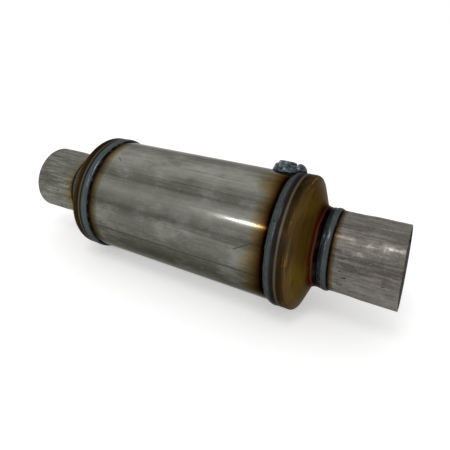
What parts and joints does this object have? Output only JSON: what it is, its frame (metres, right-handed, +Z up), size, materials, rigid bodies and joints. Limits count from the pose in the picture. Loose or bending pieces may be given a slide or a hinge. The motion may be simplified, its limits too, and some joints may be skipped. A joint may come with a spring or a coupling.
{
  "type": "catalytic converter",
  "caption": "Round steel catalytic converter: a welded can with a pressed cone and a pipe stub at each end, honeycomb bricks inside and a plugged sensor port near the outlet.",
  "frame": {"origin": "centre of the inlet stub's free end, on the converter's axis", "axes": "+X along the axis from inlet to outlet, +Z up, with the sensor port leaning from +Z towards +Y"},
  "size_m": [0.3527, 0.1098, 0.1136],
  "materials": {
    "shell_steel": "rolled stainless sheet with fine lengthwise streaks, tinted straw beside the welds",
    "cone_steel": "pressed stainless sheet tinted gold and brown by the welding heat",
    "stub_steel": "drawn stainless pipe, mottled, with faint lengthwise marks",
    "weld_metal": "blue-grey rippled weld bead",
    "port_steel": "turned steel darkened by heat",
    "brick_ceramic": "matt coated honeycomb ceramic",
    "mat_fibre": "pressed ceramic fibre mat",
    "wire_seal": "knitted steel wire"
  },
  "bodies": {
    "root": {"inlet_stub": "stub_steel", "outlet_stub": "stub_steel", "inlet_cone": "cone_steel", "outlet_cone": "cone_steel", "body_shell": "shell_steel", "shell_seam_weld": "weld_metal", "inlet_shell_weld": "weld_metal", "outlet_shell_weld": "weld_metal", "inlet_neck_weld": "weld_metal", "outlet_neck_weld": "weld_metal", "port_bung": "port_steel", "port_bung_weld": "weld_metal", "port_plug": "port_steel", "front_brick": "brick_ceramic", "rear_brick": "brick_ceramic", "front_mat": "mat_fibre", "rear_mat": "mat_fibre", "front_mat_inlet_seal": "wire_seal", "front_mat_outlet_seal": "wire_seal", "rear_mat_inlet_seal": "wire_seal", "rear_mat_outlet_seal": "wire_seal"}
  },
  "joints": []
}
